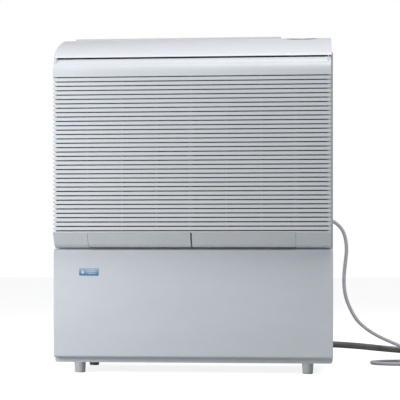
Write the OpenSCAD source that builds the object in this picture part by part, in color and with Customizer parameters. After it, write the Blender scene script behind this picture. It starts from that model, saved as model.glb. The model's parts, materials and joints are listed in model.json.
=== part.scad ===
// Console dehumidifier: moulded cabinet on four feet, louvred intake grille at the
// front, outlet grille on top, refrigeration circuit and cross-flow blower inside.
// X is the width, +Y points to the back, +Z up. The feet stand on z = 0.

/* [Overall size] */
// Width of the casing
cabinet_w = 653; // [640:1:800]
// Height of the casing above its feet
cabinet_h = 780; // [760:1:940]
// Depth of the casing behind the intake grille
cabinet_d = 264; // [262:1:320]
// Distance that the intake grille stands forward of the lower front panel
grille_proud = 36; // [35:1:44]

/* [Casing] */
// Wall thickness of the moulded panels
wall = 3; // [2.5:0.1:3.6]
// Gap between neighbouring panels
seam = 0.3; // [0.2:0.05:0.5]
// Height of the base tray below the panels
tray_h = 12.5; // [10:0.5:15]
// Thickness of the tray's sheet
tray_t = 2.5; // [1.5:0.1:3]
// Distance of the tray's front behind the lower front panel
tray_setback = 16.5; // [12:0.5:19]
// Height of the lower front panel
lower_panel_h = 252.6; // [245:0.1:280]
// Depth of the turned edges of the lower front panel
panel_return = 20; // [18:1:24]
// Width of the flanges and ledges inside the side panels
flange_w = 12; // [9:1:12]

/* [Feet] */
// Height of a foot
foot_h = 24.5; // [15:0.5:40]
// Diameter of a foot at its top
foot_top_d = 26.8; // [20:0.1:36]
// Diameter of a foot at the floor
foot_floor_d = 23.8; // [18:0.1:34]
// Distance of a foot's axis from the side of the casing
foot_side = 58.5; // [30:0.5:90]
// Distance of a foot's axis from the front or the back of the casing
foot_end = 27.5; // [25:0.5:40]
// Diameter of the hole for a foot's screw
foot_bore = 5; // [4:0.1:6]

/* [Intake grille] */
// Distance between neighbouring grooves, rounded to fill the height
groove_pitch = 10.15; // [8:0.05:14]
// Height of a groove
groove_w = 2.75; // [2:0.05:4]
// Depth of the louvres
fin_depth = 20; // [16:1:20]
// Distance that the louvres stop short of the side of the casing
grille_inset = 5; // [3:0.5:8]
// Distance that the louvres' free ends reach past the side walls of the grille
fin_overhang = 5; // [3:0.5:8]
// Height of the plain shoulder above the louvres
shoulder_h = 45.55; // [40:0.05:60]
// Radius of the shoulder's rolled top edge
shoulder_r = 35; // [20:1:36]
// Height of the turned-under band below the louvres
band_h = 36; // [36:0.5:42]

/* [Filters] */
// Width of one filter with its pull
filter_w = 241; // [200:1:260]
// Thickness of a filter frame
filter_t = 6; // [5:0.5:6]
// Width of a filter frame's border
filter_border = 12; // [10:1:20]
// Running clearance of a filter
filter_gap = 0.6; // [0.5:0.1:1]

/* [Top cover] */
// Height of the cover's crown above the intake grille
cover_rise = 68; // [60:1:80]
// Distance of the crown behind the cover's lip
cover_run = 200; // [170:1:210]
// Distance of the cover's lip behind the louvres
lip_back = 20.4; // [16:0.2:26]
// Distance of the cover inside the side of the casing
cover_inset = 3.3; // [3.3:0.1:5]

/* [Outlet and dial] */
// Length of the outlet opening
outlet_w = 503; // [420:1:510]
// Depth of the outlet opening
outlet_d = 100; // [90:1:100]
// Distance of the outlet's left end from the side of the casing
outlet_side = 26.5; // [24:0.5:40]
// Number of bays between the outlet's cross ribs
outlet_bays = 6; // [3:1:8]
// Number of long vanes in the outlet
outlet_vanes = 5; // [3:1:7]
// Radius of the coloured scale around the dial
scale_r = 40; // [30:1:42]
// Radius of the dial's well
well_r = 23; // [20:0.5:25]
// Radius of the humidistat knob
knob_r = 17; // [14:0.5:19]

/* [Refrigeration circuit] */
// Number of straight tubes in each coil
coil_tubes = 12; // [8:2:16]
// Radius of a coil's tubes
coil_r = 4.8; // [4:0.1:6]
// Distance between the plates of a coil
plate_pitch = 20; // [15:1:30]
// Radius of the compressor's shell
compressor_r = 62; // [55:1:66]
// Height of the compressor's shell
compressor_h = 200; // [180:1:200]
// Radius of the refrigerant pipes
pipe_r = 5; // [4:0.1:6]

/* [Blower] */
// Radius of the cross-flow wheel
wheel_r = 50; // [42:1:50]
// Number of blades on the wheel
blade_count = 28; // [20:1:32]
// Radius of the blower's shaft
shaft_r = 4; // [3:0.1:5]
// Radius of the fan motor
motor_r = 36; // [30:1:38]
// Length of the fan motor
motor_len = 56; // [50:1:57]

/* [Cords] */
// Diameter of the mains lead
lead_d = 9; // [7:0.1:10]
// Diameter of the drain hose
hose_d = 16; // [14:0.5:18]

/* [Hidden] */
$fn = 48;
nudge = 0.01;

// Planes of the casing; the origin is midway between its front and its drain spigot
half_w = cabinet_w / 2;
half_d = (cabinet_d + grille_proud) / 2;
rear_reach = 32;
y_front = -half_d - rear_reach / 2;
y_panel = y_front + grille_proud;
y_rear = half_d - rear_reach / 2;
y_return = y_panel + panel_return;
inner_w = half_w - wall;

// Heights, from the floor up
z_tray = foot_h;
z_panel = foot_h + tray_h + 0.4;
z_panel_top = z_panel + lower_panel_h;
z_band = z_panel_top + 2;
z_shelf = z_band + band_h + 0.4;
z_first = z_shelf + wall;
z_crown = foot_h + cabinet_h;
z_split = z_crown - cover_rise - 1.5;
z_last = z_split - shoulder_h;
z_side_top = z_split + 12;
z_deck = z_band + 14;
deck_t = 2;
rim_h = 4;

// Louvres: as many as fit between the shelf and the shoulder
groove_count = round((z_last - z_first - groove_w) / groove_pitch) + 1;
pitch = (z_last - z_first - groove_w) / (groove_count - 1);
fin_t = pitch - groove_w;
grille_w = half_w - grille_inset;
grille_wall_x = grille_w - fin_overhang;
grille_back = grille_proud + panel_return;
flange_x = inner_w - seam;
rib_t = 2.5;
filter_front = fin_depth + 1;
filter_back = filter_front + filter_t;
filter_inner = 1.8;
filter_outer = filter_inner + filter_w - 2;
filter_top = z_last + 9.5;
slope_d = 17.4;
slope_h = 11.6;

// Band below the louvres, as depth behind the louvres and height
band_corner = [
    [slope_d, z_band + slope_h], [20, z_band + 8.5], [24, z_band + 5.8], [30, z_band + 3.6]
];

// Top cover and outlet
z_lip = z_split + 1.5;
cover_x = half_w - cover_inset;
rear_r = 12;
outlet_x = -half_w + outlet_side;
outlet_y = y_rear - 15 - outlet_d;
outlet_top = z_crown + 1;
outlet_h = 10.5;
outlet_r = 6;
dial_x = half_w - 72.8;
dial_y = y_front + 168;

// Blower
wheel_y = outlet_y + 17;
wheel_z = z_crown - 149.5;
blower_x0 = outlet_x + 2;
blower_x1 = outlet_x + outlet_w - 2;
sheet = 2;
scroll_gap = 6;
running_fit = 0.08;
dial_shaft_r = 3;

// Coils: one above the drip tray's front half, one above its rear half
evaporator_y = y_front + 77;
evaporator_d = 30;
condenser_y = y_front + 110;
condenser_d = 24;
coil_x0 = -240;
coil_x1 = 236;
coil_z0 = z_deck + 34;
tube_pitch = floor((z_last - 19 - coil_z0) / (coil_tubes - 1) * 2) / 2;
coil_z1 = coil_z0 + (coil_tubes - 1) * tube_pitch;
turn_r = tube_pitch / 2 - 1;
stub_x = coil_x0 - tube_pitch / 2 - 2;
tray_x0 = coil_x0 - 24;
tray_x1 = coil_x1 + 24;
tray_y0 = evaporator_y - evaporator_d / 2 - 3;
tray_y1 = condenser_y + condenser_d / 2 + 3;
drip_h = 14;

// Lower bay
compressor_x = -170;
compressor_y = 4;
grommet_h = 20;
plate_t = 3;
z_mount = z_tray + tray_t + grommet_h;
z_shell = z_mount + plate_t;
z_shell_top = z_shell + compressor_h;
stub_z = z_deck - 21;
bolt_r = 3.8;
bolt_ring = compressor_r + 10;
accumulator_x = compressor_x - compressor_r - 30;
accumulator_r = 20;
accumulator_z0 = z_shell + 60;
accumulator_z1 = z_shell + 180;
drier_x = stub_x - 17;
drier_z0 = z_deck - 101;
drier_z1 = z_deck - 31;
capillary_y = evaporator_y - 17;
drain_x = 232;
drain_z = foot_h + 25.5;
barb_r = 6.8;
barb_bore = 4.8;
spigot_y = y_rear + 24;

// Electric bay
box_x0 = 232;
box_x1 = inner_w - flange_w - 1.5;
box_y0 = y_rear - 120;
box_y1 = y_rear - wall - seam;
box_z1 = z_deck + 254;
gland_x = 255;
gland_z = z_deck + 67;
gland_r = 7.7;
boot_len = 28;
cable_y = 24;

// Mains lead, from its gland round to the coil, along the floor at the end, for a casing
// whose rear panel is at y = 134 and whose gland and spigot are 373 and 50 high
cord_y = y_rear - 134;
lead_points = [
    [255, 162, 373], [255, 184, 373], [264, 206, 373], [284, 219, 373], [310, 222, 370],
    [335, 220, 360], [354, 218, 341], [363, 215, 315], [365, 212, 286], [362, 209, 256],
    [359, 205, 226], [359, 200, 196], [364, 195, 167], [375, 189, 139], [391, 184, 112],
    [412, 180, 92], [438, 177, 75], [467, 173, 61], [500, 168, 47], [535, 162, 33],
    [570, 154, 18], [602, 150, 6], [627, 158, 4.5], [642, 178, 4.5], [642, 203, 4.5],
    [627, 223, 4.5], [602, 231, 4.5], [571, 231, 4.5], [540, 230, 4.5], [509, 228, 4.5],
    [480, 225, 4.5], [452, 217, 4.5], [432, 198, 4.5], [429, 173, 4.5], [443, 152, 4.5],
    [468, 142, 4.5], [501, 135, 4.5], [537, 124, 4.5], [573, 110, 4.5], [610, 102, 4.5]
];
lead_coil = [610, 46];
lead_coil_r = 47;
lead_coil_w = 27;
lead_layers = 2;
// Plug and the straight stretch of lead between it and the coil
plug_x = 568;
plug_y = -4;
plug_r = 17;
plug_len = 46;
plug_lead = 34;

// Drain hose, from its spigot to its coil
hose_points = [
    [248, 158, 50], [272, 158, 50], [300, 158, 51], [332, 160, 51], [364, 165, 49],
    [398, 174, 46], [432, 186, 42], [465, 201, 38], [498, 218, 34], [530, 236, 29],
    [561, 254, 23], [592, 271, 16], [623, 285, 10], [655, 298, 8]
];
hose_coil = [622, 380];
hose_coil_r = 80;
hose_coil_w = 32;

// Colours
shell_white = [0.88, 0.89, 0.9];
shade_grey = [0.7, 0.72, 0.74];
steel = [0.75, 0.77, 0.8];
copper = [0.76, 0.46, 0.3];
dark_rubber = [0.16, 0.16, 0.17];

// Sweeps a closed outline in the YZ plane from x0 to x1
module along_x(x0, x1) {
    translate([x0, 0, 0]) rotate([90, 0, 90]) linear_extrude(x1 - x0) children();
}

// Sweeps an outline in the XZ plane from y0 to y1
module along_y(y0, y1) {
    translate([0, y1, 0]) rotate([90, 0, 0]) linear_extrude(y1 - y0) children();
}

// Block from one corner to the opposite one
module block(a, b) {
    translate(a) cube(b - a);
}

// Rectangle from a to b with rounded corners
module rounded(a, b, r) {
    translate([a.x + r, a.y]) square([b.x - a.x - 2 * r, b.y - a.y]);
    translate([a.x, a.y + r]) square([b.x - a.x, b.y - a.y - 2 * r]);
    for (x = [a.x + r, b.x - r], y = [a.y + r, b.y - r]) translate([x, y]) circle(r);
}

// Points of an arc about c from angle a0 to a1
function arc(c, r, a0, a1, n = 10) =
    [for (i = [0:n]) let (a = a0 + (a1 - a0) * i / n) [c.x + r * cos(a), c.y + r * sin(a)]];

// Turns points given as depth behind the louvres and height into YZ points
function from_front(points) = [for (p = points) [y_front + p.x, p.y]];

// Round bar through right-angled waypoints, with bends of radius bend
module pipe(points, r, bend) {
    last = len(points) - 1;
    for (i = [0:last - 1]) {
        way = points[i + 1] - points[i];
        dir = way / norm(way);
        a = points[i] + (i == 0 ? 0 : bend) * dir;
        b = points[i + 1] - (i == last - 1 ? 0 : bend) * dir;
        if (norm(b - a) > nudge) straight(a, b, r);
        if (i > 0) elbow(points[i], points[i - 1], points[i + 1], r, bend);
    }
}

// Cylinder between two points on a line along X, Y or Z
module straight(a, b, r) {
    dir = (b - a) / norm(b - a);
    turn = dir.x != 0 ? [0, 90 * dir.x, 0]
        : dir.y != 0 ? [-90 * dir.y, 0, 0]
        : [dir.z < 0 ? 180 : 0, 0, 0];
    translate(a) rotate(turn) cylinder(h = norm(b - a), r = r);
}

// Quarter bend at a corner
module elbow(corner, before, after, r, bend) {
    u = (corner - before) / norm(corner - before);
    v = (after - corner) / norm(after - corner);
    w = cross(-v, u);
    c = corner - bend * u + bend * v;
    multmatrix([[-v.x, u.x, w.x, c.x], [-v.y, u.y, w.y, c.y], [-v.z, u.z, w.z, c.z], [0, 0, 0, 1]])
        rotate_extrude(angle = 90) translate([bend, 0]) circle(r);
}

// Directions and frames for a cord swept through its points
function unit(v) = v / norm(v);
function heading(p, i) = unit(p[min(i + 1, len(p) - 1)] - p[max(i - 1, 0)]);
function carried(n, t) = unit(n - (n * t) * t);
function sides_of(p, i, n) =
    i == len(p) ? [] : let (m = carried(n, heading(p, i))) concat([m], sides_of(p, i + 1, m));

// A cord's route, moved with the rear panel and with the height of the cord's outlet
function moved(p, d, rise) =
    [for (q = p) [q.x, q.y + cord_y, q.z > d / 2 ? max(d / 2, q.z * rise) : q.z]];

// Flexible cord through free points
module cord(p, d, sides = 10, up = [0, 0.1, 1]) {
    n = sides_of(p, 0, up);
    rings = [
        for (i = [0:len(p) - 1], k = [0:sides - 1])
        let (t = heading(p, i), a = 360 * (k + 0.5) / sides)
        p[i] + d / 2 * (cos(a) * n[i] + sin(a) * cross(t, n[i]))
    ];
    walls = [
        for (i = [0:len(p) - 2], k = [0:sides - 1])
        let (a = i * sides + k, b = i * sides + (k + 1) % sides)
        each [[a, b, b + sides], [a, b + sides, a + sides]]
    ];
    first = [for (k = [sides - 1:-1:0]) k];
    end = [for (k = [0:sides - 1]) (len(p) - 1) * sides + k];
    polyhedron(rings, concat([first], [end], walls), convexity = 10);
}

// Base tray: shallow pan with a rim that the panels stand around
module base_tray() {
    color(shade_grey) difference() {
        union() {
            along_y(y_panel + tray_setback, y_rear - 1) tray_outline();
            block([-flange_x, y_return + seam, z_tray + tray_h - 1],
                  [flange_x, box_y1, z_tray + tray_h + rim_h]);
        }
        difference() {
            block([-flange_x + 2, y_return + 2 + seam, z_tray + tray_t],
                  [flange_x - 2, box_y1 - 2, z_tray + tray_h + rim_h + 1]);
            for (p = foot_places) translate([p.x, p.y, 0]) cylinder(h = z_tray + tray_h, r = 7);
        }
        for (p = foot_places) translate([p.x, p.y, 0]) cylinder(h = z_tray + tray_h + 1, r = foot_bore / 2);
        for (p = bolt_places) translate([p.x, p.y, 0]) cylinder(h = z_mount, r = bolt_r + 0.4);
    }
}

module tray_outline() {
    r = 6;
    x = half_w - 1;
    translate([-x, z_tray + r]) square([2 * x, tray_h - r]);
    translate([-x + r, z_tray]) square([2 * (x - r), tray_h]);
    for (side = [-1, 1]) translate([side * (x - r), z_tray + r]) circle(r);
}

foot_x = half_w - foot_side;
foot_y = [y_panel + foot_end, y_rear - foot_end];
foot_places = [for (x = [-foot_x, foot_x], y = foot_y) [x, y]];
head_z = 14;
head_r = 5;

// Tapered rubber foot with a counterbore for its screw
module foot(x, y) {
    color(shade_grey) translate([x, y, 0]) difference() {
        cylinder(h = foot_h, d1 = foot_floor_d, d2 = foot_top_d);
        translate([0, 0, -1]) cylinder(h = head_z + 1, r = head_r + 1);
        cylinder(h = foot_h + 1, r = foot_bore / 2);
    }
}

module foot_front_left() { foot(-foot_x, foot_y[0]); }
module foot_front_right() { foot(foot_x, foot_y[0]); }
module foot_rear_left() { foot(-foot_x, foot_y[1]); }
module foot_rear_right() { foot(foot_x, foot_y[1]); }

module foot_screws() {
    color(steel) for (p = foot_places) translate([p.x, p.y, 0]) {
        difference() {
            translate([0, 0, head_z - 3.5]) cylinder(h = 3.5, r = head_r);
            translate([-0.6, -head_r, head_z - 4]) cube([1.2, 2 * head_r, 1.7]);
        }
        translate([0, 0, head_z]) cylinder(h = z_tray + tray_h - head_z, r = foot_bore / 2 - 0.2);
    }
}

rear_screws = [for (s = [0:4]) z_panel + 22.6 + s * (z_side_top - z_panel - 50) / 4];
screw_r = 1.7;
flange_mid = inner_w - flange_w / 2;

// Side panel, drawn on the right, with flanges for its neighbours inside
module side_panel() {
    color(shell_white) difference() {
        union() {
            block([inner_w, y_return + seam, z_panel - 0.1], [half_w, y_rear, z_side_top]);
            block([inner_w - flange_w, y_return + seam, z_panel + rim_h + 1],
                  [inner_w + 1, y_return + seam + wall, z_split - 2]);
            block([inner_w - flange_w, box_y1 - wall, z_panel + rim_h + 1],
                  [inner_w + 1, box_y1, z_split - 2]);
            for (z = [z_deck - wall, z_split - 1.8])
                block([inner_w - flange_w + 1, y_return + seam + wall - 1, z],
                      [inner_w + 1, box_y1 - wall + 1, z + wall]);
        }
        for (z = rear_screws) translate([flange_mid, y_rear, z]) rotate([90, 0, 0])
            cylinder(h = 20, r = screw_r + 0.2);
    }
}

module right_side_panel() { side_panel(); }
module left_side_panel() { mirror([1, 0, 0]) side_panel(); }

// Rear panel with ventilation slots, screw holes and the holes for the lead and the drain
module rear_panel() {
    slot_rows = [z_panel + 50, z_panel + 100];
    color(shell_white) difference() {
        block([-flange_x, y_rear - wall, z_panel - 0.1], [flange_x, y_rear, z_side_top]);
        for (x = [-flange_mid, flange_mid], z = rear_screws) translate([x, y_rear + 1, z])
            rotate([90, 0, 0]) cylinder(h = wall + 2, r = screw_r + 0.2);
        translate([drain_x, y_rear + 1, drain_z]) rotate([90, 0, 0]) cylinder(h = wall + 2, r = 9);
        translate([gland_x, y_rear + 1, gland_z]) rotate([90, 0, 0])
            cylinder(h = wall + 2, r = gland_r + 0.3);
        for (z = slot_rows, x = [-270:14:-88])
            block([x, y_rear - wall - 1, z], [x + 5, y_rear + 1, z + 36]);
    }
}

module rear_panel_screws() {
    color(steel) for (x = [-flange_mid, flange_mid], z = rear_screws) translate([x, y_rear, z]) {
        difference() {
            rotate([-90, 0, 0]) cylinder(h = 2.4, r1 = 4, r2 = 3.2);
            for (a = [0, 90]) rotate([0, a, 0]) translate([-0.5, 1, -2.6]) cube([1, 2, 5.2]);
        }
        rotate([90, 0, 0]) cylinder(h = 2 * wall + 4, r = screw_r);
    }
}

// Lower front panel: flat face with edges turned back
module lower_front_panel() {
    r = 5;
    a = [y_panel, z_panel];
    b = [y_return, z_panel_top];
    outline = concat(
        arc([a.x + r, a.y + r], r, 180, 270), [[b.x, a.y], b], arc([a.x + r, b.y - r], r, 90, 180));
    color(shell_white) difference() {
        along_x(-half_w, half_w) polygon(outline);
        block([-inner_w, y_panel + wall, z_panel + wall], [inner_w, y_return + 1, z_panel_top - wall]);
    }
}

badge_x = -half_w + 60.5;
badge_z = z_panel_top - 61.3;

// Small badge on the lower front panel
module badge() {
    color([0.25, 0.5, 0.75]) along_y(y_panel - 1, y_panel)
        rounded([badge_x, badge_z], [badge_x + 46, badge_z + 17.8], 2.5);
}

// Intake grille: louvres, shoulder, turned-under ends, guides for the filters
module front_grille() {
    web_z = [z_shelf, z_last + 1];
    color(shell_white) {
        along_y(y_front, y_front + fin_depth) for (i = [0:groove_count - 2])
            bar_outline(z_first + groove_w + i * pitch, fin_t);
        difference() {
            union() {
                shoulder();
                along_y(y_front, y_front + fin_depth) bar_outline(z_shelf, wall);
                for (side = [-1, 1]) band_end(side);
                grille_back_plate();
            }
            for (side = [-1, 1]) block(
                [side * (half_w - 44) - 34, y_front + grille_back - 5, z_band + 4],
                [side * (half_w - 44) + 34, y_front + grille_back + 1, z_shelf - 1]);
        }
        for (side = [-1, 1]) {
            x = side * (grille_wall_x - rib_t / 2);
            block([x - rib_t / 2, y_front + 6, z_shelf],
                  [x + rib_t / 2, y_front + grille_back, z_split - 1]);
            for (web_x = [side * 81, side * 162])
                block([web_x - rib_t / 2, y_front + 12, web_z[0]],
                      [web_x + rib_t / 2, y_front + fin_depth, web_z[1]]);
            filter_guide(side);
        }
        block([-1.2, y_front + 12, z_shelf], [1.2, y_front + grille_back, z_last + 6]);
        block([-8, y_front + filter_back + 0.8, z_shelf + 4], [8, y_front + filter_back + 3.3, z_last + 6]);
    }
}

// Front outline of one louvre, with round ends
module bar_outline(z, h) {
    translate([-grille_w + h / 2, z]) square([2 * grille_w - h, h]);
    for (side = [-1, 1]) translate([side * (grille_w - h / 2), z + h / 2]) circle(h / 2);
}

// Plain shoulder whose top edge rolls back under the cover
module shoulder() {
    centre = [shoulder_r, z_split - shoulder_r];
    outer = concat([[0, z_last]], arc(centre, shoulder_r, 180, 90), [[grille_back, z_split]]);
    inner = concat([[wall, z_last + wall]], arc(centre, shoulder_r - wall, 180, 90),
        [[grille_back + 1, z_split - wall], [grille_back + 1, z_last + wall]]);
    difference() {
        along_x(-grille_w, grille_w) polygon(from_front(concat(outer, [[grille_back, z_last]])));
        along_x(-grille_w + wall, grille_w - wall) polygon(from_front(inner));
        block([-grille_w + wall, y_front + fin_depth, z_last - 1],
              [grille_w - wall, y_front + grille_back + 1, z_last + wall + 1]);
    }
}

// Fixed end of the band, beside the filter pulls
module band_end(side) {
    x0 = filter_outer + filter_gap;
    outer = concat([[0, z_first - 1], [0, z_shelf + 1.6]], band_corner,
        [[grille_back, z_band], [grille_back, z_first - 1]]);
    inner = concat([[wall, z_shelf]], [for (p = band_corner) [p.x + 2, p.y + 2]],
        [[grille_back - wall, z_band + wall], [grille_back - wall, z_shelf]]);
    difference() {
        along_x(min(side * x0, side * grille_w), max(side * x0, side * grille_w))
            polygon(from_front(outer));
        along_x(min(side * (x0 + wall), side * (grille_w - wall)),
                max(side * (x0 + wall), side * (grille_w - wall))) polygon(from_front(inner));
    }
}

// Plate at the back of the grille, open in front of the coils
module grille_back_plate() {
    y = y_front + grille_back;
    difference() {
        block([-flange_x, y - wall, z_panel_top + seam], [flange_x, y, z_split - 1]);
        block([-filter_outer + 8, y - wall - 1, z_shelf + 8], [filter_outer - 8, y + 1, z_last - 3]);
        for (side = [-1, 1]) block([side * half_w - 12, y - wall - 1, z_split - 5],
                                   [side * half_w + 12, y + 1, z_split + 1]);
    }
}

// Channel that holds the outer edge of a filter
module filter_guide(side) {
    x = filter_outer + filter_gap;
    a = min(side * x, side * (x + rib_t));
    block([a, y_front + 12, z_shelf], [a + rib_t, y_front + grille_back, z_last + 6]);
    b = min(side * (x - 8), side * (x + 1));
    block([b, y_front + filter_back + 0.8, z_shelf + 4],
          [b + 9, y_front + filter_back + 3.3, z_last + 6]);
}

// Filter frame, drawn on the right, with a pull that closes the band
module filter_frame() {
    mid = (z_first + filter_top) / 2 - 2;
    window = [filter_inner + filter_border, filter_outer - filter_border];
    outer = concat([[1.3, z_shelf - 0.3]], band_corner,
        [[33.5, z_band + 2.8], [33.5, z_band + 5.6], [filter_back, z_band + 7.4],
         [filter_back, z_shelf - 0.3]]);
    hollow = [[5.2, z_shelf - 2.8], [filter_front, z_shelf - 2.8],
        [filter_front, z_band + 10.9], [19.9, z_band + 12.2]];
    color([0.8, 0.82, 0.83]) difference() {
        union() {
            along_x(filter_inner, filter_outer) difference() {
                polygon(from_front(outer));
                polygon(from_front(hollow));
            }
            block([filter_inner, y_front + filter_front, z_shelf - 1],
                  [filter_outer, y_front + filter_back, filter_top]);
        }
        difference() {
            block([window[0], y_front + filter_front - 1, z_first + 8],
                  [window[1], y_front + filter_back + 1, filter_top - filter_border]);
            block([filter_inner, y_front + filter_front, mid - 2],
                  [filter_outer, y_front + filter_back, mid + 2]);
        }
        block([window[0] - 6, y_front + filter_front - 1, z_first + 2],
              [window[1] + 6, y_front + filter_front + 1.2, filter_top - 6]);
    }
}

// Fine net in the rebate of a filter frame
module filter_mesh() {
    window = [filter_inner + filter_border - 5.7, filter_outer - filter_border + 5.7];
    color([0.3, 0.32, 0.34]) block([window[0], y_front + filter_front + 0.2, z_first + 2.3],
        [window[1], y_front + filter_front + 1.2, filter_top - 6.3]);
}

module right_filter_frame() { filter_frame(); }
module left_filter_frame() { mirror([1, 0, 0]) filter_frame(); }
module right_filter_mesh() { filter_mesh(); }
module left_filter_mesh() { mirror([1, 0, 0]) filter_mesh(); }

// Height of the cover above its lip, as a share of its rise, at a share t of its run
function cover_curve(t) = pow(1 - pow(1 - t, 1.5), 0.72);

// Cover's outline in depth and height, drawn back by inset and down by drop
function cover_line(inset, drop) = [
    for (i = [0:20]) let (t = pow(i / 20, 2))
    [lip_back + inset + cover_run * t, z_lip - drop * t + cover_rise * cover_curve(t)]
];

function cover_outline(inset, drop, back) = concat(
    [[lip_back + inset, z_lip - (inset > 0 ? 1 : 0)]],
    cover_line(inset, drop),
    from_back(arc([rear_r, z_crown - rear_r], rear_r - back, 90, 0)),
    [[2 * half_d - back, z_lip - (inset > 0 ? 1 : 0)]]
);
function from_back(points) = [for (p = points) [2 * half_d - 2 * rear_r + p.x, p.y]];

// Top cover: curved shell with the outlet opening and the dial's well
module top_cover() {
    color(shell_white) difference() {
        along_x(-cover_x, cover_x) polygon(from_front(cover_outline(0, 0, 0)));
        along_x(-cover_x + wall, cover_x - wall) polygon(from_front(cover_outline(wall, wall, wall)));
        block([-half_w, y_rear - wall - seam, z_lip - 1], [half_w, y_rear + 1, z_side_top + seam]);
        translate([0, 0, z_split]) linear_extrude(2 * cover_rise)
            rounded([outlet_x, outlet_y], [outlet_x + outlet_w, outlet_y + outlet_d], outlet_r);
        translate([dial_x, dial_y, z_split]) cylinder(h = 2 * cover_rise, r = well_r);
    }
}

// Outlet grille: frame, cross ribs and long vanes
module outlet_grille() {
    a = [outlet_x + seam, outlet_y + seam];
    b = [outlet_x + outlet_w - seam, outlet_y + outlet_d - seam];
    border = 5;
    vane_d = (b.y - a.y - 2 * border) / (outlet_vanes + 1);
    bay = (b.x - a.x - border) / outlet_bays;
    color(shade_grey) translate([0, 0, outlet_top - outlet_h]) {
        difference() {
            linear_extrude(outlet_h) rounded(a, b, outlet_r - seam);
            translate([0, 0, -1]) linear_extrude(outlet_h + 2)
                rounded(a + [border, border], b - [border, border], 2);
        }
        for (i = [1:outlet_bays - 1]) translate([a.x + i * bay, a.y + 1, 0])
            cube([border, b.y - a.y - 2, outlet_h]);
        for (i = [1:outlet_vanes]) translate([0, a.y + border + i * vane_d, outlet_h / 2]) rotate([20, 0, 0])
            block([a.x + 1, -1, -outlet_h / 2 + 1.2], [b.x - 1, 1, outlet_h / 2 - 1.2]);
    }
}

scale_zones = [[195, 250], [252, 288], [290, 345]];

// Printed scale in three zones on the front half of the dial's surround
module dial_scale() {
    film = 0.6;
    color([0.55, 0.65, 0.75]) for (zone = scale_zones) intersection() {
        difference() {
            along_x(dial_x - scale_r, dial_x + scale_r)
                polygon(from_front([for (p = cover_line(0, 0)) [p.x, p.y + film]]));
            along_x(dial_x - scale_r - 1, dial_x + scale_r + 1)
                polygon(from_front(concat(cover_line(0, 0),
                    [[lip_back + cover_run, z_lip], [lip_back, z_lip]])));
        }
        translate([dial_x, dial_y, z_split]) linear_extrude(2 * cover_rise) difference() {
            polygon(concat([[0, 0]], arc([0, 0], scale_r, zone[0], zone[1], 16)));
            circle(well_r + 1.5);
        }
    }
}

well_z = z_crown - 22.5;
knob_h = 10;

// Cup in the cover that the knob sits in
module dial_well() {
    r = well_r - seam;
    color(shade_grey) intersection() {
        translate([dial_x, dial_y, well_z]) difference() {
            cylinder(h = 40, r = r);
            translate([0, 0, 2]) cylinder(h = 40, r = r - 2);
            translate([0, 0, -1]) cylinder(h = 4, r = dial_shaft_r + 1.5);
        }
        along_x(dial_x - r, dial_x + r) polygon(from_front(
            concat([[lip_back, z_split]], cover_line(0, 0), [[lip_back + cover_run, z_split]])));
    }
}

// Fluted knob with a raised pointer bar
module humidistat_knob() {
    color(shell_white) translate([dial_x, dial_y, well_z + 2.5]) difference() {
        union() {
            difference() {
                cylinder(h = knob_h, r = knob_r);
                for (k = [0:17]) rotate(k * 20) translate([knob_r + 0.6, 0, 2]) cylinder(h = knob_h, r = 1.5);
            }
            translate([-1.5, -knob_r + 3, knob_h - 1]) cube([3, knob_r - 2, 2]);
        }
        translate([0, 0, -1]) cylinder(h = 7, r = dial_shaft_r + 0.05);
    }
}

module humidistat_shaft() {
    color(steel) translate([dial_x, dial_y, well_z - 14]) cylinder(h = 20, r = dial_shaft_r);
}

// Humidistat switch under the well
module humidistat_switch() {
    color([0.2, 0.2, 0.22]) difference() {
        union() {
            block([dial_x - 20, dial_y - 15, well_z - 28], [dial_x + 20, dial_y + 15, well_z - 4]);
            translate([dial_x, dial_y, well_z - 5]) cylinder(h = 5, r = 8);
            for (x = [dial_x - 12, dial_x - 2, dial_x + 8])
                block([x, dial_y - 3, well_z - 36], [x + 2, dial_y + 3, well_z - 27]);
        }
        translate([dial_x, dial_y, well_z - 14.2]) cylinder(h = 20, r = dial_shaft_r + running_fit);
    }
}

deck_holes = [
    [compressor_x - 35, compressor_y], [-300, evaporator_y], [drier_x, condenser_y],
    [drier_x, capillary_y], [drain_x, condenser_y], [box_x0 + 13, cable_y]
];

// Deck between the two bays
module bulkhead() {
    color(steel) difference() {
        block([-flange_x, y_return + wall + 2 * seam, z_deck],
              [flange_x, box_y1 - wall - seam, z_deck + deck_t]);
        for (p = deck_holes) translate([p.x, p.y, z_deck - 1]) cylinder(h = deck_t + 2, r = 9);
    }
}

// Drip tray under both coils, with its drain nipple
module drip_tray() {
    z = z_deck + deck_t;
    color([0.85, 0.86, 0.86]) difference() {
        union() {
            block([tray_x0, tray_y0, z], [tray_x1, tray_y1, z + drip_h]);
            translate([drain_x, condenser_y, z_deck - 21]) cylinder(h = 24, r = barb_r);
        }
        block([tray_x0 + 2, tray_y0 + 2, z + 2], [tray_x1 - 2, tray_y1 - 2, z + drip_h + 1]);
        translate([drain_x, condenser_y, z_deck - 22]) cylinder(h = 30, r = barb_bore);
    }
}

// Corners of the serpentine, from its lower end to its upper end
function serpentine(y) = [
    for (i = [0:coil_tubes - 1]) let (z = coil_z0 + i * tube_pitch, right = i % 2 == 0)
    each [
        [i == 0 ? stub_x : right ? coil_x0 - turn_r : coil_x1 + turn_r, y, z],
        [i == coil_tubes - 1 ? stub_x : right ? coil_x1 + turn_r : coil_x0 - turn_r, y, z]
    ]
];

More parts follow.
